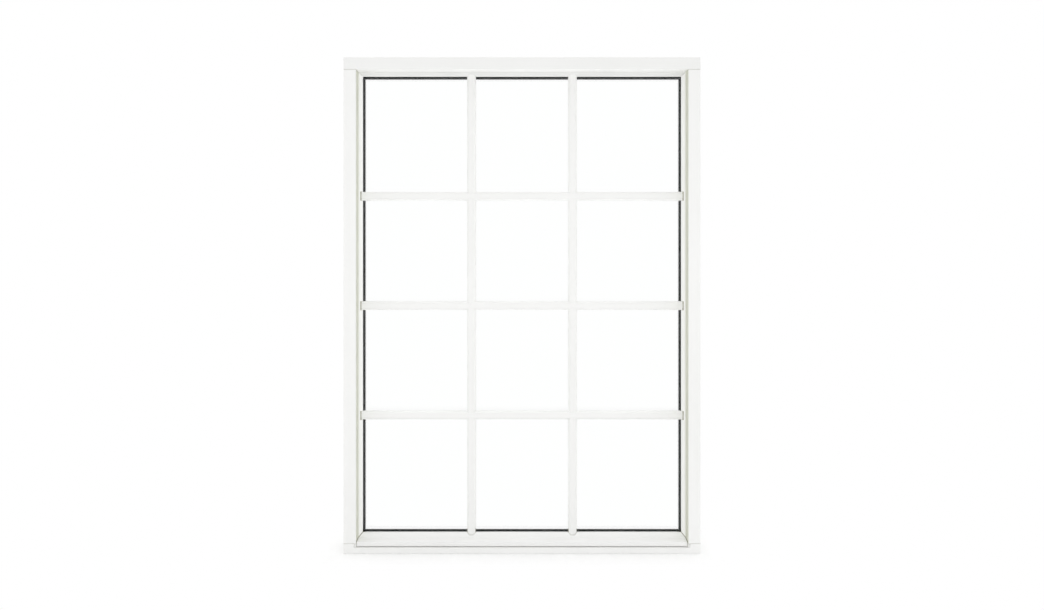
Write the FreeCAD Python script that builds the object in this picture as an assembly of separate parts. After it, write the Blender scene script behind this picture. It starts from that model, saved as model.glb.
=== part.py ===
import FreeCAD, Part
import math
import os

from FreeCAD import Vector

# A fixed timber window: a frame that doesn't open, one insulating glass unit held from outside by
# splayed glazing beads, and glazing bars on both faces of the glass, moulded outside, slim inside.
# Millimetres. X runs to the right as seen from outside, the outside face looks along -Y, Z is up.
# The origin is at the middle of the sill's underside.
# A section is drawn with u, the distance in from the frame's outer edge, and d, the distance back
# from its outside face.

# Frame
WIDTH = 1000.0
HEIGHT = 1392.0
DEPTH = 117.0
FACE = 34.5             # the outside face of the head and of each jamb
UPSTAND = 45.0          # from the outer edge to the frame's edge on the room side
OUTSIDE_ARRIS = 1.5     # rounding of the outside edges
ROOM_LAND = 6.0         # how far that edge runs straight back from the glazing rebate
ROOM_SPLAY = 11.0       # how much it falls away behind that, down to the room-side face
ROOM_ARRIS = 4.0        # rounding of the edge that shows in the room
BACK_ARRIS = 1.0        # rounding of the edges against the wall

# Sill
SILL_FACE = 28.8        # its front at the jambs
SILL_FALL = 4.5         # degrees that its top falls towards the outside
LIP = 16.8              # its front between the jambs, under the bottom bead's nose
LIP_FALL = 0.8
LIP_DEPTH = 20.0        # how far back the front is cut down
RUN_OUT = 6.0           # how far the cut's ends are scooped out past the jamb's edge, under the jamb
SCOOP = 8.0             # radius of the tool that scoops them

# Glazing beads
REVEAL = 34.0           # from the outside face back to the beads
BEAD_WIDTH = 12.0
SPLAY = 8.0             # how much deeper a bead's inner edge lies than its outer one
BEAD_EDGE = 6.0         # thickness of a bead at its inner edge
SILL_BEAD_TOP = 48.0    # height of the bottom bead's upper edge over the underside of the sill
SILL_BEAD_FOOT = 34.4   # height at which its splay turns into the nose
NOSE_FRONT = 8.0        # the nose's front, back from the frame's outside face
NOSE_TOP = 31.0
NOSE_HEIGHT = 12.6
NOSE_ROUND = 1.2
DRIP_WIDTH = 3.0        # the groove under the nose that sheds the water
DRIP_DEPTH = 3.0
DRIP_WALL = 4.0         # from the nose's front to that groove
END_CAP = 5.0           # thickness of the closer at each end of the bottom bead
END_GAP = 0.3           # between what is fitted between the jambs and the jambs
MITRE_GAP = 0.2         # what a painted mitre leaves open on each side

# Insulating glass
PANE = 4.0
CAVITY = 16.0
GASKET = 3.0            # thickness of the rubber on each side of the glass
GASKET_SHOWS = 1.5      # how far it stands past the bead or the frame
EDGE_PLAY = 3.5         # between the glass and the frame at the head and jambs
BLOCK_HEIGHT = 2.0      # setting blocks under the glass
BLOCK_LENGTH = 80.0
BLOCK_FROM_END = 100.0
SEAL = 5.0              # sealant between the spacer and the edge of the glass
SPACER = 7.0

# Glazing bars
BARS_ACROSS = 3
BARS_UP = 2
BAR_WIDTH = 25.0
BAR_HEIGHT = 13.0
BAR_NOSE = 12.4         # width of the flat along its front
BAR_FILLET = 1.6        # how far that flat stands out from the rounded shoulders beside it
BAR_SHOULDER = 20.8     # width over the shoulders
BAR_ROUND = 3.8         # radius of the shoulders
BAR_EDGE = 4.0          # height of its straight side
BAR_QUIRK = 1.2         # the small flat between that side and the moulding
BAR_NOSE_ROUND = 0.5
ROOM_BAR_WIDTH = 15.0   # the slimmer bars on the room side
ROOM_BAR_HEIGHT = 8.0
ROOM_BAR_ROUND = 3.0
ROW_SPACING = 312.2
COLUMN_SPACING = 288.0
BARS_DROP = 3.2         # the bars are set out a little under the frame's middle
SCRIBE_GAP = 0.25       # left open where a bar's end is cut to the shape that it meets
CAVITY_BAR_WIDTH = 14.0
CAVITY_BAR_PLAY = 2.0   # between the bar inside the unit and each pane

# Fixing holes
FIXING_RADIUS = 4.0
FIXING_FROM_END = 180.0

# Places that follow
BEAD_SIGHT = FACE + BEAD_WIDTH
BEAD_INNER = REVEAL + SPLAY
BEAD_BACK = BEAD_INNER + BEAD_EDGE
OUTER_PANE = BEAD_BACK + GASKET
INNER_PANE = OUTER_PANE + PANE + CAVITY
ROOM_GLASS = INNER_PANE + PANE
REBATE_BACK = ROOM_GLASS + GASKET
SPLAY_START = REBATE_BACK + ROOM_LAND
GLASS_EDGE = FACE + EDGE_PLAY
FIXING_DEPTH = (REBATE_BACK + DEPTH) / 2
LONG = 2 * (WIDTH + HEIGHT)


def sill_top(d):
    """Height of the sloping sill at d back from the outside face."""
    return SILL_FACE + d * math.tan(math.radians(SILL_FALL))


GLASS_BOTTOM = sill_top(ROOM_GLASS) + BLOCK_HEIGHT
CENTRE = HEIGHT / 2 - BARS_DROP
ROWS = [CENTRE + (i - (BARS_ACROSS - 1) / 2) * ROW_SPACING for i in range(BARS_ACROSS)]
COLUMNS = [(i - (BARS_UP - 1) / 2) * COLUMN_SPACING for i in range(BARS_UP)]


def on_left(u, d, along):
    return Vector(-WIDTH / 2 + u, -DEPTH / 2 + d, along)


def on_right(u, d, along):
    return Vector(WIDTH / 2 - u, -DEPTH / 2 + d, along)


def on_head(u, d, along):
    return Vector(along, -DEPTH / 2 + d, HEIGHT - u)


def on_sill(u, d, along):
    return Vector(along, -DEPTH / 2 + d, u)


SIDES = {"left": on_left, "right": on_right, "head": on_head, "sill": on_sill}


def corner_stops(before, corner, after):
    """Where the line into a corner ends, the middle of its round and where the next line starts."""
    here = Vector(corner[0], corner[1], 0)
    radius = corner[2] if len(corner) > 2 else 0
    if radius == 0:
        return here, None, here
    back = (Vector(before[0], before[1], 0) - here).normalize()
    ahead = (Vector(after[0], after[1], 0) - here).normalize()
    half = back.getAngle(ahead) / 2
    inward = (back + ahead).normalize()
    cut_back = radius / math.tan(half)
    middle = here + inward * (radius / math.sin(half) - radius)
    return here + back * cut_back, middle, here + ahead * cut_back


def face(corners, place, along):
    """A flat face at one place along a member, from corners (u, d) or (u, d, radius)."""
    count = len(corners)
    stops = [corner_stops(corners[i - 1], corners[i], corners[(i + 1) % count]) for i in range(count)]

    def put(point):
        return place(point.x, point.y, along)

    edges = []
    for i, (enter, middle, leave) in enumerate(stops):
        if middle is not None:
            edges.append(Part.Arc(put(enter), put(middle), put(leave)).toShape())
        onward = stops[(i + 1) % count][0]
        edges.append(Part.LineSegment(put(leave), put(onward)).toShape())
    return Part.Face(Part.Wire(edges))


def run(corners, place, start, stop):
    """A straight member with this section from start to stop."""
    return face(corners, place, start).extrude(place(0, 0, stop) - place(0, 0, start))


def mitred(solid, side):
    """Keep what lies on this side of the 45 degree lines through the frame's upper corners."""
    half = WIDTH / 2
    gap = MITRE_GAP * math.sqrt(2)
    reach = half - 1
    if side == "head":
        points = [(-half + gap, HEIGHT), (half - gap, HEIGHT),
                  (1 - gap, HEIGHT - reach), (gap - 1, HEIGHT - reach)]
    else:
        edge, across = (-half, 1) if side == "left" else (half, -1)
        points = [(edge, HEIGHT - gap), (edge + across * reach, HEIGHT - reach - gap),
                  (edge + across * reach, 0), (edge, 0)]
    ring = [Vector(x, -DEPTH, z) for x, z in points]
    wedge = Part.Face(Part.makePolygon(ring + ring[:1])).extrude(Vector(0, 2 * DEPTH, 0))
    return solid.common(wedge)


def length_of(side):
    """Where a member on this side of the frame starts and stops, without its end joints."""
    return (-WIDTH / 2, WIDTH / 2) if side in ("head", "sill") else (0.0, HEIGHT)


# Frame members


def frame_section(rounded=True):
    """Head and jamb: outside face, reveal that runs on as the glazing rebate, splayed room side."""
    out, room, back = (OUTSIDE_ARRIS, ROOM_ARRIS, BACK_ARRIS) if rounded else (0, 0, 0)
    return [(0, 0, out), (FACE, 0, out), (FACE, REBATE_BACK), (UPSTAND, REBATE_BACK, back),
            (UPSTAND, SPLAY_START), (UPSTAND - ROOM_SPLAY, DEPTH, room), (0, DEPTH, back)]


def sill_section(rounded=True):
    out, room, back = (OUTSIDE_ARRIS, ROOM_ARRIS, BACK_ARRIS) if rounded else (0, 0, 0)
    return [(0, 0, out), (SILL_FACE, 0, out), (sill_top(REBATE_BACK), REBATE_BACK),
            (UPSTAND, REBATE_BACK, back), (UPSTAND, SPLAY_START), (UPSTAND - ROOM_SPLAY, DEPTH, room),
            (0, DEPTH, back)]


def make_head():
    return run(frame_section(), on_head, *length_of("head"))


def make_sill():
    """The sill runs the full width; between the jambs its front is cut down to a lip."""
    solid = run(sill_section(), on_sill, *length_of("sill"))
    jamb_edge = WIDTH / 2 - FACE
    start = jamb_edge + RUN_OUT
    lip_back = LIP + LIP_DEPTH * math.tan(math.radians(LIP_FALL))
    cutter = run([(LIP, -1), (UPSTAND, -1), (UPSTAND, LIP_DEPTH), (lip_back, LIP_DEPTH)],
                 on_sill, -start, start)
    slot = Part.makeBox(2 * jamb_edge, 2 * DEPTH, HEIGHT, Vector(-jamb_edge, -DEPTH, 0))
    for x in (SCOOP - start, start - SCOOP):
        slot = slot.fuse(Part.makeCylinder(SCOOP, HEIGHT, Vector(x, -DEPTH / 2, 0)))
    return solid.cut(cutter.common(slot))


def fixing_holes(place):
    """Holes for the frame's fixing screws, right through the jamb behind the glass."""
    into = place(1, 0, 0) - place(0, 0, 0)
    heights = (FIXING_FROM_END, HEIGHT / 2, HEIGHT - FIXING_FROM_END)
    return [Part.makeCylinder(FIXING_RADIUS, UPSTAND + 2, place(-1, FIXING_DEPTH, z), into) for z in heights]


def make_jamb(side):
    """A jamb stands between head and sill, its ends cut to the shape that they meet."""
    solid = run(frame_section(), SIDES[side], *length_of(side))
    solid = solid.cut(run(frame_section(rounded=False), on_head, -LONG, LONG))
    below = run([(-1, -1)] + sill_section(rounded=False)[1:-1] + [(-1, DEPTH)], on_sill, -LONG, LONG)
    front = run([(-1, -1), (SILL_FACE, -1), (SILL_FACE, 1), (-1, 1)], on_sill, -LONG, LONG)
    solid = solid.cut(below).cut(front)
    for hole in fixing_holes(SIDES[side]):
        solid = solid.cut(hole)
    return solid


# Glazing beads


def bead_section():
    """A splayed bead: it stands flush against the reveal and is thinnest over the glass."""
    return [(FACE, REVEAL), (BEAD_SIGHT, BEAD_INNER, 0.8), (BEAD_SIGHT, BEAD_BACK), (FACE, BEAD_BACK)]


def splay_at(u, lift):
    """Depth of the bead's splay at u, moved lift off its surface."""
    return REVEAL + (u - FACE) * SPLAY / BEAD_WIDTH - lift * math.hypot(1, SPLAY / BEAD_WIDTH)


def sill_splay_at(u, lift):
    """Depth of the bottom bead's splay at height u, moved lift off its surface."""
    steep = SPLAY / (SILL_BEAD_TOP - SILL_BEAD_FOOT)
    return BEAD_INNER + (u - SILL_BEAD_TOP) * steep - lift * math.hypot(1, steep)


def sill_bead_section(closed=False):
    """The bottom bead: splay, weathered nose and drip; closed is the section of its end closers."""
    nose_bottom = NOSE_TOP - NOSE_HEIGHT
    groove = NOSE_FRONT + DRIP_WALL
    top = [(SILL_BEAD_TOP, BEAD_INNER, 0.8), (SILL_BEAD_FOOT, REVEAL, 2.0),
           (NOSE_TOP, NOSE_FRONT, NOSE_ROUND)]
    if closed:
        lip = LIP + LIP_DEPTH * math.tan(math.radians(LIP_FALL)) + END_GAP
        under = [(lip, NOSE_FRONT), (lip, LIP_DEPTH - END_GAP), (sill_top(LIP_DEPTH), LIP_DEPTH - END_GAP)]
    else:
        under = [(nose_bottom, NOSE_FRONT, NOSE_ROUND / 2), (nose_bottom, groove),
                 (nose_bottom + DRIP_DEPTH, groove), (nose_bottom + DRIP_DEPTH, groove + DRIP_WIDTH),
                 (nose_bottom, groove + DRIP_WIDTH), (nose_bottom, LIP_DEPTH - END_GAP),
                 (sill_top(LIP_DEPTH), LIP_DEPTH - END_GAP)]
    return top + under + [(sill_top(BEAD_BACK), BEAD_BACK), (SILL_BEAD_TOP, BEAD_BACK)]


def sill_bead_envelope(lift):
    """What the side beads and the uprights have to clear over the bottom bead."""
    top = SILL_BEAD_TOP + lift
    return run([(0, 0), (NOSE_TOP + lift, 0), (SILL_BEAD_FOOT + lift, sill_splay_at(SILL_BEAD_FOOT, lift)),
                (top, sill_splay_at(top, lift)), (top, REBATE_BACK), (0, REBATE_BACK)],
               on_sill, -LONG, LONG)


def make_bead(side):
    if side == "sill":
        half = WIDTH / 2 - FACE - END_GAP - END_CAP
        return run(sill_bead_section(), on_sill, -half, half)
    solid = run(bead_section(), SIDES[side], *length_of(side))
    solid = mitred(solid, side)
    return solid if side == "head" else solid.cut(sill_bead_envelope(MITRE_GAP))


def make_bead_end(side):
    """The closer at one end of the bottom bead fills the gap under its nose."""
    inner = WIDTH / 2 - FACE - END_GAP - END_CAP
    outer = inner + END_CAP
    start, stop = (-outer, -inner) if side == "left" else (inner, outer)
    return run(sill_bead_section(closed=True), on_sill, start, stop)


# Insulating glass unit


def pane(front):
    half = WIDTH / 2 - GLASS_EDGE
    corner = Vector(-half, -DEPTH / 2 + front, GLASS_BOTTOM)
    return Part.makeBox(2 * half, PANE, HEIGHT - GLASS_EDGE - GLASS_BOTTOM, corner)


def ring_piece(side, inset, width, front, thickness):
    """One side of a mitred ring that lies inset from the edges of the glass."""
    half = WIDTH / 2 - GLASS_EDGE
    low, high = GLASS_BOTTOM, HEIGHT - GLASS_EDGE
    a, b = inset, inset + width
    points = {
        "left": [(-half + a, low + a), (-half + b, low + b), (-half + b, high - b), (-half + a, high - a)],
        "right": [(half - a, low + a), (half - b, low + b), (half - b, high - b), (half - a, high - a)],
        "head": [(-half + a, high - a), (half - a, high - a), (half - b, high - b), (-half + b, high - b)],
        "sill": [(-half + a, low + a), (half - a, low + a), (half - b, low + b), (-half + b, low + b)],
    }[side]
    ring = [Vector(x, -DEPTH / 2 + front, z) for x, z in points]
    return Part.Face(Part.makePolygon(ring + ring[:1])).extrude(Vector(0, thickness, 0))


def make_gasket(side, inside):
    """Rubber between the glass and the bead, or inside between the glass and the frame."""
    edge = {True: UPSTAND, False: SILL_BEAD_TOP if side == "sill" else BEAD_SIGHT}[inside]
    start = sill_top(REBATE_BACK) if side == "sill" else FACE
    front = ROOM_GLASS if inside else BEAD_BACK
    corners = [(start, front), (edge + GASKET_SHOWS, front), (edge + GASKET_SHOWS, front + GASKET),
               (start, front + GASKET)]
    ends = length_of(side)
    if side in ("head", "sill"):
        keep = (-WIDTH / 2 + FACE, WIDTH / 2 - FACE)
        return run(corners, SIDES[side], *keep)
    foot = (UPSTAND if inside else SILL_BEAD_TOP) + GASKET_SHOWS
    top = (UPSTAND if inside else BEAD_SIGHT) + GASKET_SHOWS
    return run(corners, SIDES[side], ends[0] + foot, ends[1] - top)


def make_setting_blocks():
    """Two blocks on the sloping sill carry the glass unit."""
    section = [(sill_top(OUTER_PANE), OUTER_PANE), (GLASS_BOTTOM, OUTER_PANE), (GLASS_BOTTOM, ROOM_GLASS),
               (sill_top(ROOM_GLASS), ROOM_GLASS)]
    start = WIDTH / 2 - GLASS_EDGE - BLOCK_FROM_END
    return Part.makeCompound([run(section, on_sill, -start, -start + BLOCK_LENGTH),
                              run(section, on_sill, start - BLOCK_LENGTH, start)])


# Glazing bars


def room_bar_section(grow=0.0):
    """The slim bar of the room side, across and out from the glass."""
    half = ROOM_BAR_WIDTH / 2 + grow
    top = ROOM_BAR_HEIGHT + grow
    corner = ROOM_BAR_ROUND + grow
    return [(-half, 0), (half, 0), (half, top, corner), (-half, top, corner)]


def bar_section(grow=0.0):
    """Across the bar and out from the glass: straight side, quirk, rounded shoulder and flat nose."""
    half = BAR_WIDTH / 2 + grow
    nose = BAR_NOSE / 2 + grow
    top = BAR_HEIGHT + grow
    right = [(half, BAR_EDGE + grow), (half - BAR_QUIRK, BAR_EDGE + grow),
             (BAR_SHOULDER / 2 + grow, top - BAR_FILLET, BAR_ROUND + grow),
             (nose, top - BAR_FILLET), (nose, top, BAR_NOSE_ROUND + grow)]
    left = [(-a, h, *rest) for a, h, *rest in reversed(right)]
    return [(-half, 0), (half, 0)] + right + left


def bar_place(centre, glass, outward, upright):
    """Place (across, height, along) for a bar whose base lies on the glass at depth glass."""
    def place(across, height, along):
        y = -DEPTH / 2 + glass + outward * height
        return Vector(centre + across, y, along) if upright else Vector(along, y, centre + across)
    return place


def outside_envelope(side):
    """What the end of an outside bar is scribed to: the bead's splay and the rubber under it."""
    if side == "sill":
        sight, splay = SILL_BEAD_TOP, sill_splay_at
    else:
        sight, splay = BEAD_SIGHT, splay_at
    edge = sight + SCRIBE_GAP
    rubber = sight + GASKET_SHOWS + SCRIBE_GAP
    start = FACE / 2
    return run([(start, splay(start, SCRIBE_GAP)), (edge, splay(edge, SCRIBE_GAP)),
                (edge, BEAD_BACK - SCRIBE_GAP), (rubber, BEAD_BACK - SCRIBE_GAP),
                (rubber, OUTER_PANE + PANE), (start, OUTER_PANE + PANE)], SIDES[side], -LONG, LONG)


def room_envelope(side):
    """What the end of a room-side bar butts against: the frame's upstand and the rubber before it."""
    edge = UPSTAND + SCRIBE_GAP
    rubber = UPSTAND + GASKET_SHOWS + SCRIBE_GAP
    return run([(0, 0), (rubber, 0), (rubber, REBATE_BACK + SCRIBE_GAP), (edge, REBATE_BACK + SCRIBE_GAP),
                (edge, DEPTH), (0, DEPTH)], SIDES[side], -LONG, LONG)


def make_bars(inside):
    """All bars on one face of the glass: whole ones across, and uprights cut to fit between them."""
    glass, outward = (ROOM_GLASS, 1) if inside else (OUTER_PANE, -1)
    envelope = room_envelope if inside else outside_envelope
    section = room_bar_section if inside else bar_section
    ends = [envelope(side) for side in ("left", "right")]
    tops = [envelope(side) for side in ("head", "sill")]
    reach = FACE / 2 + 1
    across = []
    for z in ROWS:
        bar = run(section(), bar_place(z, glass, outward, False), -WIDTH / 2 + reach, WIDTH / 2 - reach)
        across.append(bar.cut(ends))
    scribes = [run(section(SCRIBE_GAP), bar_place(z, glass, outward, False), -WIDTH / 2, WIDTH / 2)
               for z in ROWS]
    upright = []
    for x in COLUMNS:
        bar = run(section(), bar_place(x, glass, outward, True), reach, HEIGHT - reach)
        upright.append(bar.cut(tops + scribes))
    return across, upright


def make_cavity_bars():
    """Flat bars inside the glass unit, behind the outside ones, held by the spacer at their ends."""
    front, back = OUTER_PANE + PANE + CAVITY_BAR_PLAY, INNER_PANE - CAVITY_BAR_PLAY
    inset = GLASS_EDGE + SEAL + SPACER
    half = CAVITY_BAR_WIDTH / 2

    def flat(x0, x1, z0, z1):
        return Part.makeBox(x1 - x0, back - front, z1 - z0, Vector(x0, -DEPTH / 2 + front, z0))

    side = WIDTH / 2 - inset
    across = [flat(-side, side, z - half, z + half) for z in ROWS]
    stations = [GLASS_BOTTOM + SEAL + SPACER] + [z + s * half for z in ROWS for s in (-1, 1)]
    stations.append(HEIGHT - inset)
    upright = [flat(x - half, x + half, stations[i], stations[i + 1])
               for x in COLUMNS for i in range(0, len(stations), 2)]
    return Part.makeCompound(across), Part.makeCompound(upright)


def names_in_order(count, first, last):
    """Names for like pieces from one end to the other."""
    if count == 1:
        return ["middle"]
    between = ["middle"] if count == 3 else [f"inner_{i + 1}" for i in range(count - 2)]
    return [first] + between + [last]


def parts():
    nodes = {"head": make_head(), "sill": make_sill()}
    for side in ("left", "right"):
        nodes[f"jamb_{side}"] = make_jamb(side)
        nodes[f"bead_end_{side}"] = make_bead_end(side)
    nodes["glass_outer"] = pane(OUTER_PANE)
    nodes["glass_inner"] = pane(INNER_PANE)
    cavity = OUTER_PANE + PANE
    for side in SIDES:
        nodes[f"bead_{side}"] = make_bead(side)
        nodes[f"edge_seal_{side}"] = ring_piece(side, 0, SEAL, cavity, CAVITY)
        nodes[f"spacer_{side}"] = ring_piece(side, SEAL, SPACER, cavity, CAVITY)
        nodes[f"outer_gasket_{side}"] = make_gasket(side, inside=False)
        nodes[f"inner_gasket_{side}"] = make_gasket(side, inside=True)
    nodes["setting_blocks"] = make_setting_blocks()
    rows = names_in_order(BARS_ACROSS, "bottom", "top")
    columns = names_in_order(BARS_UP, "left", "right")
    for prefix, inside in (("", False), ("room_", True)):
        across, upright = make_bars(inside)
        nodes.update({f"{prefix}bar_{name}": bar for name, bar in zip(rows, across)})
        nodes.update({f"{prefix}upright_{name}": bar for name, bar in zip(columns, upright)})
    nodes["cavity_bars_across"], nodes["cavity_bars_upright"] = make_cavity_bars()
    return nodes


os.makedirs("parts", exist_ok=True)
for name, shape in parts().items():
    shape.exportStep(f"parts/{name}.step")
    print(name, len(shape.Solids), "solids", round(shape.Volume / 1000, 1), "cm3", shape.isValid())
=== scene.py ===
# %% [markdown]
# # A fixed window in painted timber
#
# The window is a frame of four timber members, a sealed unit of two panes, beads that hold the unit from
# outside, and glazing bars on both faces of the glass. All of that comes from the imported CAD model, true to
# size. What is left for Blender is how it looks: the paint and its brush marks, the rubber, the black edge of
# the glass unit, the glass, and the small marks that a joiner leaves. Some paints and marks also carry
# painted light and shade. Each step has a cell that says what the real thing is and why it is made this way,
# and then a cell of code.

# %% Load the imported window
import math

import bpy
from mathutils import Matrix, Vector


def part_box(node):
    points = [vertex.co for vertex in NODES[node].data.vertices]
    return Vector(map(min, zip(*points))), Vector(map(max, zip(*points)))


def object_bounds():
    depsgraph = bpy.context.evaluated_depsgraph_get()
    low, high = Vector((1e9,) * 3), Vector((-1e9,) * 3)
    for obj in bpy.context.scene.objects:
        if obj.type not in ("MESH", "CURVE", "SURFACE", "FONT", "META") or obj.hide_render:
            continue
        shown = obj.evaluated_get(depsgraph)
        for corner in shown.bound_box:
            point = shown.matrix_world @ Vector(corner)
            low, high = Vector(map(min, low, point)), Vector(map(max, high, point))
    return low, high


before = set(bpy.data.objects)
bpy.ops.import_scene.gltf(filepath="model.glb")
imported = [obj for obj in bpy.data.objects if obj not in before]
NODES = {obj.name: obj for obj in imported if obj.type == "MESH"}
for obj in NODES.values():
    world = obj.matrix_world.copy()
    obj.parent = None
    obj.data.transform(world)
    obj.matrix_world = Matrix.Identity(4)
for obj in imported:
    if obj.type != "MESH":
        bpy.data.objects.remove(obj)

CAD_BOX = [list(corner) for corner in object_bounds()]
OUTSIDE = CAD_BOX[0][1]                        # y of the outside face
HALF_WIDTH, HALF_DEPTH = CAD_BOX[1][0], CAD_BOX[1][1]
print(len(NODES), "parts; the window's box in metres:", CAD_BOX)

# %% [markdown]
# ## The camera
#
# The window was photographed from straight in front, from about two and a half metres, with the lens a
# little above the middle. A camera that is turned up or down would make the jambs lean, so it looks level
# along +Y, and a small vertical shift of the picture brings the window to the middle, as a view camera does.

# %% Place the camera
PICTURE_WIDTH = 1044             # pixels across the picture
PIXEL = 0.0028008                # metres that one pixel covers at the outside face
DISTANCE = 2.5                   # from the lens to the outside face
EYE = 0.846                      # height of the lens
PICTURE_MIDDLE = 0.6974          # height that falls on the picture's middle row
SENSOR = 36                      # width of the camera's sensor, in millimetres

camera = bpy.data.objects.new("camera", bpy.data.cameras.new("camera"))
bpy.context.scene.collection.objects.link(camera)
bpy.context.scene.camera = camera
view_width = PICTURE_WIDTH * PIXEL
camera.data.sensor_width = SENSOR
camera.data.lens = SENSOR * DISTANCE / view_width
camera.data.shift_y = (PICTURE_MIDDLE - EYE) / view_width
camera.location = (0, OUTSIDE - DISTANCE, EYE)
camera.rotation_euler = (math.radians(90), 0, 0)
bpy.context.scene.view_settings.view_transform = "Standard"
print(f"lens {camera.data.lens:.2f} mm, shift {camera.data.shift_y:.4f}")

# %% [markdown]
# ## Sums with shader sockets
#
# A finish is a small sum: a noise, times a mask, plus a line. Written as nodes one by one such a sum is hard
# to read, so a socket is wrapped in a class that knows plus, minus, times and divide. Each of them adds one
# Math node. The right-hand forms let a number stand first, as in 1 - mask.


# %% Wrap a socket
class Wire:
    """A socket that Python can do sums with."""

    def __init__(self, recipe, socket):
        self.recipe, self.socket = recipe, socket

    def math(self, operation, *values):
        return self.recipe.add("Math", {"operation": operation}, dict(enumerate(values)))

    def __add__(self, other):
        return self.math("ADD", self, other)

    def __radd__(self, other):
        return self.math("ADD", other, self)

    def __sub__(self, other):
        return self.math("SUBTRACT", self, other)

    def __rsub__(self, other):
        return self.math("SUBTRACT", other, self)

    def __mul__(self, other):
        return self.math("MULTIPLY", self, other)

    def __rmul__(self, other):
        return self.math("MULTIPLY", other, self)

    def __truediv__(self, other):
        return self.math("DIVIDE", self, other)

    def __pow__(self, other):
        return self.math("POWER", self, other)

    def __abs__(self):
        return self.math("ABSOLUTE", self)

    def __or__(self, other):
        """The greater of two masks."""
        return self.math("MAXIMUM", self, other)

    def fraction(self):
        """What is left after the whole number."""
        return self.math("FRACT", self)

    def also(self, name):
        """Another output of the same node."""
        return Wire(self.recipe, self.socket.node.outputs[name])


# %% [markdown]
# ## One way to add a node
#
# Every other node comes from one method. It takes the node's type, then its settings, because a setting can
# change which sockets a node has, and then the numbers, colours or wires for its sockets. The short methods
# after it say in words what the finishes ask for again and again: where a point is, which way the surface
# looks, and a soft step from 0 to 1 at a limit.


# %% Keep a recipe of nodes
class Recipe:
    """The node tree of one finish, or of the sky."""

    def __init__(self, owner):
        owner.use_nodes = True
        self.tree = owner.node_tree
        self.tree.nodes.clear()

    def add(self, kind, settings=None, sockets=None, out=0):
        node = self.tree.nodes.new("ShaderNode" + kind)
        for name, value in (settings or {}).items():
            setattr(node, name, value)
        for name, value in (sockets or {}).items():
            if isinstance(value, Wire):
                self.tree.links.new(value.socket, node.inputs[name])
            else:
                node.inputs[name].default_value = value
        return Wire(self, node.outputs[out] if len(node.outputs) else None)

    def split(self, vector):
        """The x, y and z of a vector."""
        parts = self.add("SeparateXYZ", {}, {0: vector})
        return parts, parts.also("Y"), parts.also("Z")

    def place(self):
        """Where a point of the surface is, in metres."""
        return self.add("TexCoord", out="Object")

    def noise(self, stretch, detail=2.0, roughness=0.5):
        """Noise with each axis multiplied: a low number draws it out along that axis."""
        place = self.add("VectorMath", {"operation": "MULTIPLY"}, {0: self.place(), 1: stretch})
        return self.add("TexNoise", {}, {"Vector": place, "Scale": 1.0,
                                         "Detail": detail, "Roughness": roughness})

    def step(self, value, low, high):
        """0 up to low, 1 from high, and a soft step between; with low above high it falls."""
        return self.add("MapRange", {"interpolation_type": "SMOOTHSTEP"},
                        {"Value": value, "From Min": low, "From Max": high})

    def over(self, value, limit, soft):
        """0 up to the limit, and 1 once the value is over it by the soft width."""
        return self.step(value, limit, limit + soft)

    def under(self, value, limit, soft):
        """0 from the limit up, and 1 once the value is under it by the soft width."""
        return self.step(value, limit, limit - soft)

    def mix(self, mask, first, second):
        return self.add("Mix", {"data_type": "RGBA"}, {0: mask, 6: first, 7: second}, out=2)

    def bump(self, height, depth):
        """A bump whose height runs from 0 to 1 over that depth in metres."""
        return self.add("Bump", {}, {"Height": height, "Distance": depth, "Strength": 1.0})

    def seen(self):
        """1 for rays that show a thing itself: to the camera, in gloss or through glass."""
        rays = self.add("LightPath", out="Is Camera Ray")
        return rays | rays.also("Is Glossy Ray") | rays.also("Is Transmission Ray")

    def show(self, surface):
        self.add("OutputMaterial", {}, {"Surface": surface})


def rgb(red, green, blue):
    return (red, green, blue, 1.0)


def finish(name):
    """A new material and its recipe."""
    material = bpy.data.materials.new(name)
    return material, Recipe(material)


WHITE = rgb(1, 1, 1)
print("helpers ready")

# %% [markdown]
# ## The studio
#
# The picture has a plain white ground, and the glass shows the same white. The world is therefore pure white
# for the camera and for what glass and gloss show. What lights the paint is a second sky that is never seen.
# A photographer would build it from white and grey screens: a dim one in front, where the lamps work, a
# slightly olive one on the left, a brighter one on the right, and strong ones behind and overhead, so that
# the room side and the top have light as well. As one sky it needs no lamp for each screen, only the
# direction in which a ray leaves, and soft steps between the screens.

# %% Light the studio
FRONT_LIGHT = rgb(0.60, 0.60, 0.60)
WING_LIGHT = rgb(0.66, 0.66, 0.66)
LEFT_LIGHT = rgb(0.62, 0.63, 0.58)
RIGHT_LIGHT = rgb(0.88, 0.89, 0.84)
BACK_LIGHT = rgb(0.95, 0.95, 0.95)
UPPER_LIGHT = rgb(1.28, 1.28, 1.28)

world = bpy.data.worlds.new("studio")
bpy.context.scene.world = world
sky = Recipe(world)
across, inward, upward = sky.split(sky.add("TexCoord", out="Generated"))
wings = sky.step(abs(across), 0.30, 0.60)
sideways = sky.step(abs(across), 0.70, 0.95)
behind = sky.step(inward, 0.0, 0.5)
overhead = sky.step(upward, 0.3, 0.9)
screen = sky.mix(behind, sky.mix(wings, FRONT_LIGHT, WING_LIGHT), BACK_LIGHT)
screen = sky.mix(overhead, screen, UPPER_LIGHT)
side = sky.mix(sky.step(across, -0.2, 0.2), LEFT_LIGHT, RIGHT_LIGHT)
screen = sky.mix(sideways, screen, side)
studio = sky.add("MixShader", {}, {
    0: sky.seen(),
    1: sky.add("Background", {}, {"Color": screen, "Strength": 1.0}),
    2: sky.add("Background", {}, {"Color": WHITE, "Strength": 1.0})})
sky.add("OutputWorld", {}, {"Surface": studio})
print("sky of", len(sky.tree.nodes), "nodes")

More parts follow.
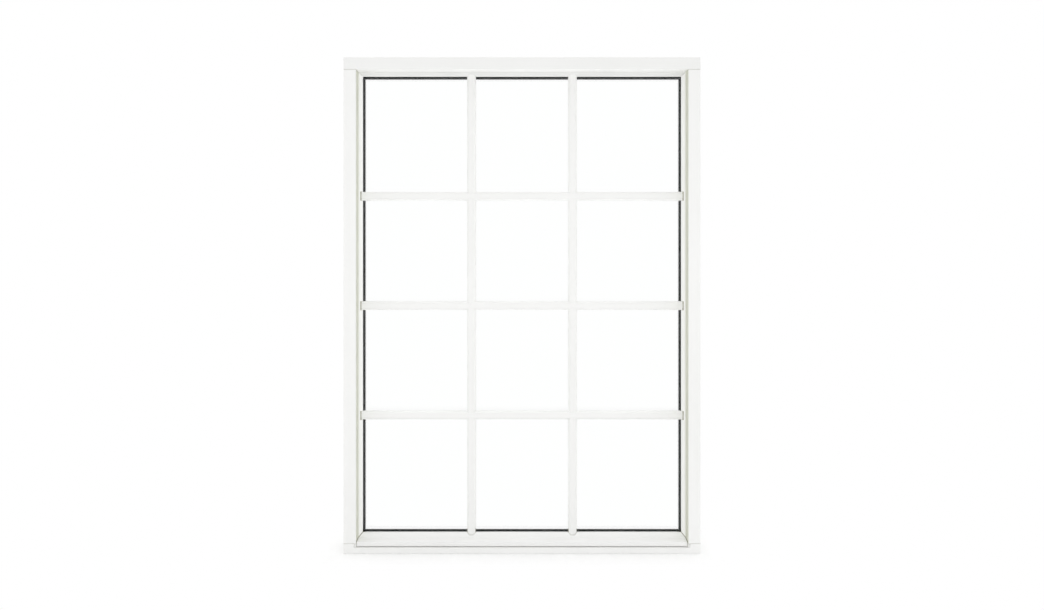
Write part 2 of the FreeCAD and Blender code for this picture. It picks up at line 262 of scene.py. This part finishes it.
# %% [markdown]
# ## Three soft lamps
#
# The lamps give the light a direction. The upper one shines on the faces from just above the middle. The
# lower one, near the floor, lifts the shade under the bars and beads. Both are as wide as two windows, so
# they leave no hard edge. The third is a slim strip on the floor close to the sill, with a narrow beam that
# goes straight up: it reaches the underside of the head, which would otherwise be the darkest part of the
# frame, and passes the lower members by.

# %% Hang the soft lamps
WINDOW_MIDDLE = Vector((0, 0, 0.7))
HEAD_UNDERSIDE = Vector((0, -0.04, 1.36))


def soft_lamp(name, spot, size, watts, target=WINDOW_MIDDLE, spread=180):
    """A wide lamp that lights the window and is itself never seen or mirrored."""
    lamp = bpy.data.objects.new(name, bpy.data.lights.new(name, "AREA"))
    bpy.context.scene.collection.objects.link(lamp)
    lamp.data.shape = "RECTANGLE"
    lamp.data.size, lamp.data.size_y = size
    lamp.data.energy = watts
    lamp.data.spread = math.radians(spread)
    lamp.location = spot
    lamp.rotation_euler = (target - lamp.location).to_track_quat("-Z", "Y").to_euler()
    lamp.visible_camera = lamp.visible_glossy = lamp.visible_transmission = False
    print(name, round((target - lamp.location).length, 2), "m from what it lights")


soft_lamp("upper_lamp", (0.05, -2.2, 1.35), (2.0, 1.0), 5.2)
soft_lamp("lower_lamp", (0.05, -2.1, 0.25), (2.0, 0.4), 1.5)
soft_lamp("strip_lamp", (0, -0.2, 0.02), (2.0, 0.05), 0.12, target=HEAD_UNDERSIDE, spread=24)

# %% [markdown]
# ## The floor
#
# A white floor does two jobs: it throws light up on the bars and the head, and it takes the soft dark line
# where the sill stands. Far from the window it has to melt into the white ground, so its own light takes over
# with the distance from the window's foot, and only the near part shows the shadow. The distance to a
# rectangle is the distance past its end and the distance past its face, put together by Pythagoras.

# %% Lay the floor
FLOOR_REACH = 6.0
SHADOW_REACH = 0.10

mesh = bpy.data.meshes.new("floor")
ends = (-FLOOR_REACH, FLOOR_REACH)
mesh.from_pydata([(x, y, 0) for y in ends for x in ends], [], [(0, 1, 3, 2)])
floor = bpy.data.objects.new("floor", mesh)
bpy.context.scene.collection.objects.link(floor)

paper, recipe = finish("floor_paper")
x, y, z = recipe.split(recipe.place())
past_end = (abs(x) - HALF_WIDTH) | 0.0
past_face = (abs(y) - HALF_DEPTH) | 0.0
away = (past_end * past_end + past_face * past_face) ** 0.5
grain = recipe.noise((40, 40, 40), 3.0)
floor_white = recipe.mix(grain, rgb(0.94, 0.94, 0.94), rgb(0.96, 0.96, 0.96))
recipe.show(recipe.add("MixShader", {}, {
    0: recipe.seen() * recipe.step(away, 0.0, SHADOW_REACH),
    1: recipe.add("BsdfDiffuse", {}, {"Color": floor_white}),
    2: recipe.add("Emission", {}, {"Color": WHITE, "Strength": 1.0})}))
floor.data.materials.append(paper)
print("floor laid, shadow kept within", SHADOW_REACH, "m of the window")

# %% [markdown]
# ## Paint on timber
#
# The members are softwood under a satin white paint. Close up such paint is never flat: the brush or the
# spray leaves fine furrows along each member, the paint skin has a slight orange peel, and the grain of the
# wood still lifts it a little. All of it is far too fine for geometry, tenths of a millimetre at most, so it
# is bump and roughness. The furrows follow the length of the member, so each direction gets its own material.
#
# White paint also dulls, in broad cloudy patches. Where a finish asks for it, surfaces turned away from the
# front, such as a splay or a rounded shoulder, and on the outside bars what lies deeper than the nose, get a
# whiter paint: painted light, for the light that falls on them more than on the faces. The surface's normal
# and the depth of a point pick them out, so nothing has to be painted on by hand.

# %% Mix the paint
PAINT = rgb(0.90, 0.90, 0.892)
PAINT_DULL = rgb(0.876, 0.877, 0.866)
# Painted light: the two whiter paints stand for the extra light on surfaces turned away from the front.
PAINTED_LIGHT = rgb(0.965, 0.965, 0.957)
PAINTED_LIGHT_DULL = rgb(0.95, 0.951, 0.94)
PAINT_RELIEF = 0.00012                         # metres between the lowest and the highest of its bumps


def along(axis, slow, fast):
    """A stretch for a pattern that runs along one axis."""
    return tuple(slow if index == "xyz".index(axis) else fast for index in range(3))


def outside_half(recipe, y):
    """1 on the weather side of the glass, 0 on the room side."""
    return recipe.under(y, 0.0, 0.005)


def painted_light_places(recipe, lit_depth):
    """1 for painted light on turned surfaces; with a depth, a bar's downward ones don't count and what lies
    deeper does.
    """
    _, front, up = recipe.split(recipe.add("TexCoord", out="Normal"))
    turned = recipe.step(abs(front), 0.97, 0.85)
    if lit_depth is None:
        return turned
    _, depth, _ = recipe.split(recipe.place())
    deep = recipe.over(depth, lit_depth - 0.001, 0.001) * outside_half(recipe, depth)
    return turned * recipe.step(up, -0.3, -0.1) | deep


def paint(name, axis, extra=None, shades=(PAINT_DULL, PAINT), lit_turned=False, lit_depth=None):
    """Satin paint whose brush marks run along the axis; extra adds its own lines and patches."""
    material, recipe = finish(name)
    brush = recipe.noise(along(axis, 9, 900), 3.0, 0.6)
    grain = recipe.noise(along(axis, 2.5, 160), 4.0, 0.55)
    peel = recipe.noise((700, 700, 700), 1.0)
    cloud = recipe.noise((3.1, 3.1, 3.1), 2.0)
    tone = recipe.step(cloud * 0.7 + grain * 0.3, 0.35, 0.7)
    colour = recipe.mix(tone, *shades)
    # Painted light: turned surfaces take the whiter paint.
    if lit_turned:
        lit_paint = recipe.mix(tone, PAINTED_LIGHT_DULL, PAINTED_LIGHT)
        colour = recipe.mix(painted_light_places(recipe, lit_depth), colour, lit_paint)
    rough = 0.40 + (brush - 0.5) * 0.16 + (cloud - 0.5) * 0.10
    height = brush * 0.45 + grain * 0.35 + peel * 0.2
    if extra:
        colour, rough, height = extra(recipe, colour, rough, height)
    recipe.show(recipe.add("BsdfPrincipled", {}, {
        "Base Color": colour, "Roughness": rough, "Normal": recipe.bump(height, PAINT_RELIEF),
        "IOR": 1.48}))
    return material


def dress(material, names):
    """Gives CAD parts their finish through their objects' slots, so that no mesh changes."""
    for name in names:
        piece = NODES[name]
        if not piece.material_slots:
            piece.data.materials.append(None)
        for slot in piece.material_slots:
            slot.link = "OBJECT"
            slot.material = material
    print(material.name, "on", ", ".join(names))


# %% [markdown]
# ## Joints in the paint
#
# Where a jamb meets the head and the sill, the paint bridges the joint and sinks into it as a hairline. The
# outside faces are one flat plane there, so there is no edge that a light could find. The line is drawn
# instead by its distance from the joint, in the paint's colour, roughness and bump.

# %% Find the frame's joints
MEMBER_FACE = 0.0345                           # width of the head's and the jambs' outside faces
HEAD_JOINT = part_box("head")[1].z - MEMBER_FACE   # where the jambs end under the head
SILL_JOINT = 0.0288                            # where they stand on the sill
REVEAL_X = HALF_WIDTH - MEMBER_FACE            # where the jambs' inner faces are
REVEAL_BACK = OUTSIDE + 0.034                  # where the beads start
JOINT_HALF = 0.0004                            # half the width of a painted joint line
JOINT_SHADE = rgb(0.42, 0.42, 0.34)
# The colour of the dark marks at gaps: the gap itself and painted shade, wider than the real gap.
GAP_AND_PAINTED_SHADE = rgb(0.20, 0.19, 0.10)


def joint_line(recipe, distance):
    """1 on the hairline over a joint, by the distance from the joint's middle."""
    return recipe.under(abs(distance), JOINT_HALF * 1.6, JOINT_HALF)


def sink(recipe, colour, rough, height, where):
    """Darkens and lowers the paint where the mask is 1."""
    return recipe.mix(where, colour, JOINT_SHADE), rough + where * 0.2, height - where * 1.5


print(f"joints {SILL_JOINT:.4f} and {HEAD_JOINT:.4f} m above the floor")

# %% [markdown]
# ## The jambs
#
# The inner faces of the jambs, in front of the beads, lie in an olive grey shade, and that shade is painted
# into their colour, with a soft edge towards the left jamb's outside face. At the foot of each the bottom
# bead's nose runs against the jamb, and a dark line along the nose stands for the narrow gap between them and
# the shade in it: partly a real gap, partly painted shade.
#
# Through each jamb run three holes for the frame screws. Their walls are bare pine, picked out by the
# distance from the hole's axis, so that the paint stops at the rim as it does when a hole is drilled last.

# %% Paint the jambs
# Painted shade: the olive grey of the jambs' inner faces and of the side splays' roots.
REVEAL_PAINTED_SHADE = rgb(0.665, 0.68, 0.575)
BARE_PINE = rgb(0.62, 0.44, 0.25)
PINE_DARK = rgb(0.46, 0.28, 0.13)
NOSE_EDGE = OUTSIDE + 0.009                    # where the bottom bead's nose starts to rise
NOSE_LEVEL = 0.03114                           # its height there
NOSE_RISE = 0.1305                             # its rise for each metre inward
NOSE_MARK = 0.0016                             # height of the dark line over it
FIXING_HEIGHTS = (0.18, 0.696, 1.212)
FIXING_Y = OUTSIDE + 0.0975
FIXING_WALL = 0.0043                           # a little more than the hole's radius


def bare_holes(recipe, y, z):
    """1 on the walls of the three fixing holes."""
    bare = None
    for level in FIXING_HEIGHTS:
        reach = ((y - FIXING_Y) * (y - FIXING_Y) + (z - level) * (z - level)) ** 0.5
        wall = recipe.under(reach, FIXING_WALL * 1.03, FIXING_WALL * 0.03)
        bare = wall if bare is None else bare | wall
    return bare


def jamb_marks(recipe, colour, rough, height):
    x, y, z = recipe.split(recipe.place())
    inner_face = recipe.under(abs(x), REVEAL_X + 0.0013, 0.001)
    rim = recipe.over(y, OUTSIDE + 0.001, 0.009) | recipe.over(x, -0.1, 0.2)
    # Painted shade on the inner faces of the jambs.
    reveal_shade = inner_face * recipe.under(y, REVEAL_BACK + 0.002, 0.002) * rim
    colour = recipe.mix(reveal_shade, colour, REVEAL_PAINTED_SHADE)
    line = joint_line(recipe, z - HEAD_JOINT) | joint_line(recipe, z - SILL_JOINT)
    colour, rough, height = sink(recipe, colour, rough, height, line)
    # Gap and painted shade along the bottom bead's nose.
    over_nose = z - NOSE_LEVEL - (y - NOSE_EDGE) * NOSE_RISE
    foot = recipe.under(over_nose, NOSE_MARK, NOSE_MARK / 2) * inner_face
    foot = foot * recipe.over(y, NOSE_EDGE - 0.002, 0.002)
    colour = recipe.mix(foot, colour, GAP_AND_PAINTED_SHADE)
    bare = bare_holes(recipe, y, z)
    rings = recipe.noise(along("z", 6, 420), 3.0, 0.6)
    return recipe.mix(bare, colour, recipe.mix(rings, PINE_DARK, BARE_PINE)), rough + bare * 0.3, height


dress(paint("jamb_paint", "z", jamb_marks), ["jamb_left", "jamb_right"])

# %% [markdown]
# ## Head and sill
#
# The head and the sill run the full width and carry the other half of each joint line, past the daylight
# only. The head's outside face is a trace darker than the jambs': painted shade, for the dimmer light at the
# top. Its underside and other turned surfaces take the whiter paint of painted light.

# %% Paint the head and the sill
# Painted shade: the head's outside face a trace darker than the jambs'.
HEAD_PAINTED_SHADE = (rgb(0.855, 0.856, 0.845), rgb(0.877, 0.877, 0.869))


def end_marks(joint):
    """The marks of a member that has this joint at both of its ends."""
    def marks(recipe, colour, rough, height):
        x, _, z = recipe.split(recipe.place())
        line = joint_line(recipe, z - joint) * recipe.over(abs(x), REVEAL_X - 0.0007, 0.0008)
        return sink(recipe, colour, rough, height, line)
    return marks


dress(paint("head_paint", "x", end_marks(HEAD_JOINT), HEAD_PAINTED_SHADE, lit_turned=True), ["head"])
dress(paint("sill_paint", "x", end_marks(SILL_JOINT)), ["sill"])

# %% [markdown]
# ## Where beads and bars meet
#
# Beads and bars are cut to each other's slopes, and their joints stay a little open. The gaps are real in the
# solids, but only two or three tenths of a millimetre wide, and the shade in such a joint makes it look
# wider.
# The dark part is therefore a mark in the paint, partly the gap and partly painted shade, which has to follow
# the same slopes. How far a point lies from a slope is a short sum of its coordinates, so each slope gets one
# function that every mark can use.

# %% Measure the beads and the bars
BARS_ACROSS = ["bar_top", "bar_middle", "bar_bottom"]
UPRIGHTS = ["upright_left", "upright_right"]
BAR_LEVELS = [(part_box(name)[0].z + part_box(name)[1].z) / 2 for name in BARS_ACROSS]
BAR_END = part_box("bar_top")[1].x               # how far the front of a bar reaches
BAR_END_MARK = 0.0024                          # how much of that end is dark
BAR_HALF = 0.0125                              # half the width of a bar
NOSE_HALF = 0.0062                             # half the width of its flat nose
SHOULDER = 0.0058                              # width of the shoulder beside the nose
UPRIGHT_PLACE = (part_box("upright_right")[0].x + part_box("upright_right")[1].x) / 2
UPRIGHT_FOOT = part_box("upright_left")[0].z
SHOULDER_LIFT = 0.0065                         # how much higher an upright's shoulders end than its nose
SIDE_SPLAY = 1.5                               # metres inward for one in depth, on a side bead
FOOT_SPLAY = 1.70                              # metres up for one in depth, on the bottom bead
FOOT_SPLAY_EDGE = (OUTSIDE + 0.0345, 0.03524)  # depth and height of a point on that splay
MITRE_MARK = 0.0012                            # width of the dark line at a mitre
FADE = 0.0006                                  # width over which a painted mark dies away


def past_side_splay(x, y):
    """How far a point lies inward of the side beads' splay, in metres."""
    return HALF_WIDTH - abs(x) - MEMBER_FACE - (y - REVEAL_BACK) * SIDE_SPLAY


def past_foot_splay(y, z):
    """How far it lies above the splay of the bottom bead."""
    return z - FOOT_SPLAY_EDGE[1] - (y - FOOT_SPLAY_EDGE[0]) * FOOT_SPLAY


print("bars across at", [round(level, 4) for level in BAR_LEVELS])

# %% [markdown]
# ## The side beads
#
# The beads are machined from the same timber as the frame and painted along their own length. At its root a
# side bead's splay takes painted shade, olive like the jamb's face, and its turned surfaces take the whiter
# paint of painted light. It carries the upper half of the dark mitre at its foot, and a dark square bracket
# round the end of each bar, both gap and painted shade. The bracket's long stroke crosses the bar's whole
# end, and its short strokes, the bar's painted shadow on the bead, run along the bar's two edges.

# %% Paint the side beads
ROOT_SHADE_WIDTH = 0.0035                                  # width of the olive strip, from the jamb
SIDE_MITRE_MARK = 0.0017


def side_bead_marks(recipe, colour, rough, height):
    x, y, z = recipe.split(recipe.place())
    # Painted shade: an olive strip at the root of the splay, next to the jamb.
    root_shade = recipe.over(abs(x), REVEAL_X - ROOT_SHADE_WIDTH, 0.0027) * outside_half(recipe, y)
    colour = recipe.mix(root_shade * 0.65, colour, REVEAL_PAINTED_SHADE)
    # Gap and painted shade: the mitre, and a bracket round each bar's end whose short strokes are painted
    # shadow.
    gap_and_shade = recipe.under(past_foot_splay(y, z), SIDE_MITRE_MARK, 0.0008)
    reached = recipe.under(abs(x), BAR_END + 0.0005, 0.0005)
    end = recipe.over(abs(x), BAR_END - BAR_END_MARK, FADE) * reached
    for level in BAR_LEVELS:
        beside = abs(z - level)
        edge = recipe.over(beside, BAR_HALF - FADE * 2, FADE) * reached * 0.5
        gap_and_shade = gap_and_shade | recipe.under(beside, BAR_HALF + FADE, FADE) * (end | edge)
    return recipe.mix(gap_and_shade, colour, GAP_AND_PAINTED_SHADE), rough, height - gap_and_shade


dress(paint("bead_paint_side", "z", side_bead_marks, lit_turned=True), ["bead_left", "bead_right"])

# %% [markdown]
# ## The bottom bead and the head bead
#
# The bottom bead has the other half of each mitre, a dark line where its end closers meet the jambs, a soft
# line round the foot of each upright, and the shade of its drip edge. The mitre and closer lines are gaps
# with painted shade, and the line round each foot and the drip line are painted shadow. An upright's foot is
# a nose between two shoulders that end higher up, so the line round it is a level nose with a ramp on each
# side, which a Clamp node cuts to length. The head bead lies in the shade of the head, and its greyer paint
# is painted shade.

# %% Paint the bottom bead and the head bead
CLOSER_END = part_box("bead_end_right")[1].x
DRIP_EDGE = (OUTSIDE + 0.0125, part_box("bead_sill")[0].z + 0.0008)
# Painted shade: the head bead's greyer paint.
HEAD_BEAD_PAINTED_SHADE = (rgb(0.76, 0.765, 0.75), rgb(0.82, 0.825, 0.81))


def foot_bead_marks(recipe, colour, rough, height):
    x, y, z = recipe.split(recipe.place())
    # Gaps and painted shade at mitres and closers; the line round each upright's foot and the drip line are
    # painted shadow.
    mitre = recipe.under(past_side_splay(x, y), MITRE_MARK, FADE)
    mitre = mitre * recipe.over(y, REVEAL_BACK - 0.0001, FADE)
    closer = recipe.over(abs(x), CLOSER_END - 0.001, FADE)
    beside = abs(abs(x) - UPRIGHT_PLACE)
    ramp = recipe.add("Clamp", {}, {0: (beside - NOSE_HALF) / SHOULDER})
    above = UPRIGHT_FOOT + ramp * SHOULDER_LIFT - z
    foot = recipe.under(above, 0.0016, FADE) * recipe.under(beside, BAR_HALF + 0.0011, 0.001)
    drip = recipe.under(z, DRIP_EDGE[1], 0.0004) * recipe.under(y, DRIP_EDGE[0], 0.0005)
    gap_and_shade = mitre | closer | foot * 0.4 | drip * 0.35
    return recipe.mix(gap_and_shade, colour, GAP_AND_PAINTED_SHADE), rough, height - gap_and_shade


dress(paint("bead_paint_foot", "x", foot_bead_marks), ["bead_sill", "bead_end_left", "bead_end_right"])
dress(paint("bead_paint_head", "x", shades=HEAD_BEAD_PAINTED_SHADE), ["bead_head"])

# %% [markdown]
# ## The glazing bars
#
# A bar is a slim moulding stuck to the glass, with a rounded shoulder on each side of a flat nose. The
# shoulders and the flat strips beside them take a whiter paint than the nose: painted light. The ends of the
# outside bars have the other half of the dark joint that the beads carry, gap and painted shade. On the bars
# of the room side the marks stop at the glass.

# %% Paint the bars
# Painted light: the fresh paint below is the whiter paint that stands for light on the bars' shoulders.
UNDER_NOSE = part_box("bar_top")[0].y + 0.003    # depth from which the paint is fresh


def bar_end_marks(recipe, colour, rough, height):
    x, y, _ = recipe.split(recipe.place())
    # Gap and painted shade at each outside bar's end.
    gap_and_shade = recipe.over(abs(x), BAR_END - BAR_END_MARK, FADE) * outside_half(recipe, y)
    return recipe.mix(gap_and_shade * 0.9, colour, GAP_AND_PAINTED_SHADE), rough, height - gap_and_shade


def upright_end_marks(recipe, colour, rough, height):
    _, y, z = recipe.split(recipe.place())
    # Gap and painted shade at each upright's foot.
    gap_and_shade = recipe.under(past_foot_splay(y, z), MITRE_MARK, FADE) * outside_half(recipe, y)
    return recipe.mix(gap_and_shade * 0.7, colour, GAP_AND_PAINTED_SHADE), rough, height - gap_and_shade


for name, axis, marks, bars in (("bar_paint_across", "x", bar_end_marks, BARS_ACROSS),
                                ("bar_paint_upright", "z", upright_end_marks, UPRIGHTS)):
    dress(paint(name, axis, marks, lit_turned=True, lit_depth=UNDER_NOSE), bars + ["room_" + bar for bar in bars])

# %% [markdown]
# ## The glass
#
# Each pane is a real sheet, four millimetres thick, so light bends in and out of it as it should. For shadow
# rays and for light that bounces off paint the glass is simply clear: otherwise the room side would go dark,
# because such light seldom finds its way through two refracting sheets. Float glass has a faint roller wave,
# which a broad, very shallow bump gives. Its gloss is turned down, because in a white studio a full mirror
# image would only veil the black edge of the unit.

# %% Glaze the window
glass, recipe = finish("window_glass")
wave = recipe.noise((5, 5, 14), 1.0)
tint = recipe.mix(wave, rgb(0.996, 1.0, 0.998), rgb(0.998, 1.0, 0.999))
sheet = recipe.add("BsdfPrincipled", {}, {
    "Base Color": tint, "Roughness": 0.0, "IOR": 1.5, "Transmission Weight": 1.0,
    "Specular IOR Level": 0.2, "Normal": recipe.bump(wave, 0.00002)})
rays = recipe.add("LightPath", out="Is Shadow Ray")
clear = recipe.add("BsdfTransparent", {}, {"Color": WHITE})
for_shadow = recipe.add("MixShader", {}, {0: rays, 1: sheet, 2: clear})
recipe.show(recipe.add("MixShader", {}, {0: rays.also("Is Diffuse Ray"), 1: for_shadow, 2: clear}))
dress(glass, ["glass_outer", "glass_inner"])

# %% [markdown]
# ## Rubber, spacer and sealant
#
# Round the daylight shows a thin black band. It is the rubber lip on each side of the unit and, between the
# panes, the black spacer with its two rows of tiny breathing holes. Rubber is matt with a fine bloom, the
# spacer is a smooth matt plastic, and the sealant behind it was pressed in by a nozzle and is faintly ribbed.
# One function makes them all from two near shades, a roughness and a fine bump. The holes repeat at an even
# pitch, so the fraction of the place along the spacer gives every one of them without a single copy.

# %% Finish the edge of the glass unit
SIDES = ("head", "sill", "left", "right")
HOLE_PITCH = 0.0025
HOLE_LANE = 0.003                              # from the spacer's middle to each row of holes
HOLE_SHADE = rgb(0.004, 0.004, 0.004)
SPACER_Y = (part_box("spacer_head")[0].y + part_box("spacer_head")[1].y) / 2


def dark(name, colour, worn, rough, stretch, depth, holes=None):
    """A dark matt finish: its colour, a slightly paler one in patches, and a fine bump."""
    material, recipe = finish(name)
    fine = recipe.noise((stretch, stretch, stretch), 2.0)
    patch = recipe.noise((14, 14, 14), 3.0)
    shade = recipe.mix(recipe.step(patch, 0.45, 0.75), colour, worn)
    height = fine
    if holes:
        x, y, z = recipe.split(recipe.place())
        run = x if holes == "x" else z
        lane = abs(abs(y - SPACER_Y) - HOLE_LANE)
        hop = abs((run / HOLE_PITCH).fraction() - 0.5) * HOLE_PITCH
        hole = recipe.under((lane * lane + hop * hop) ** 0.5, 0.00055, 0.00025)
        shade = recipe.mix(hole, shade, HOLE_SHADE)
        height = height * 0.3 - hole
    recipe.show(recipe.add("BsdfPrincipled", {}, {
        "Base Color": shade, "Roughness": rough + (fine - 0.5) * 0.2,
        "Specular IOR Level": 0.15, "Normal": recipe.bump(height, depth)}))
    return material


rubber = dark("rubber", rgb(0.010, 0.012, 0.011), rgb(0.020, 0.023, 0.021), 0.85, 900, 0.00008)
dress(rubber, [f"{face}_gasket_{side}" for face in ("outer", "inner") for side in SIDES])
for run, sides in (("x", SIDES[:2]), ("z", SIDES[2:])):
    spacer = dark("spacer_" + run, rgb(0.009, 0.011, 0.0105), rgb(0.014, 0.017, 0.016), 0.85, 600, 0.00004,
                  holes=run)
    dress(spacer, [f"spacer_{side}" for side in sides])
cavity = dark("cavity_bar_skin", rgb(0.03, 0.033, 0.032), rgb(0.042, 0.046, 0.044), 0.48, 500, 0.00004)
dress(cavity, ["cavity_bars_across", "cavity_bars_upright"])
sealant = dark("edge_sealant", rgb(0.016, 0.016, 0.016), rgb(0.03, 0.03, 0.03), 0.6, 160, 0.0004)
dress(sealant, [f"edge_seal_{side}" for side in SIDES])
block = dark("setting_block_plastic", rgb(0.1, 0.16, 0.3), rgb(0.13, 0.2, 0.35), 0.5, 300, 0.0001)
dress(block, ["setting_blocks"])

# %% [markdown]
# ## The end
#
# The finished model has to stay inside the solids' box.

# %% Finish
print("done")
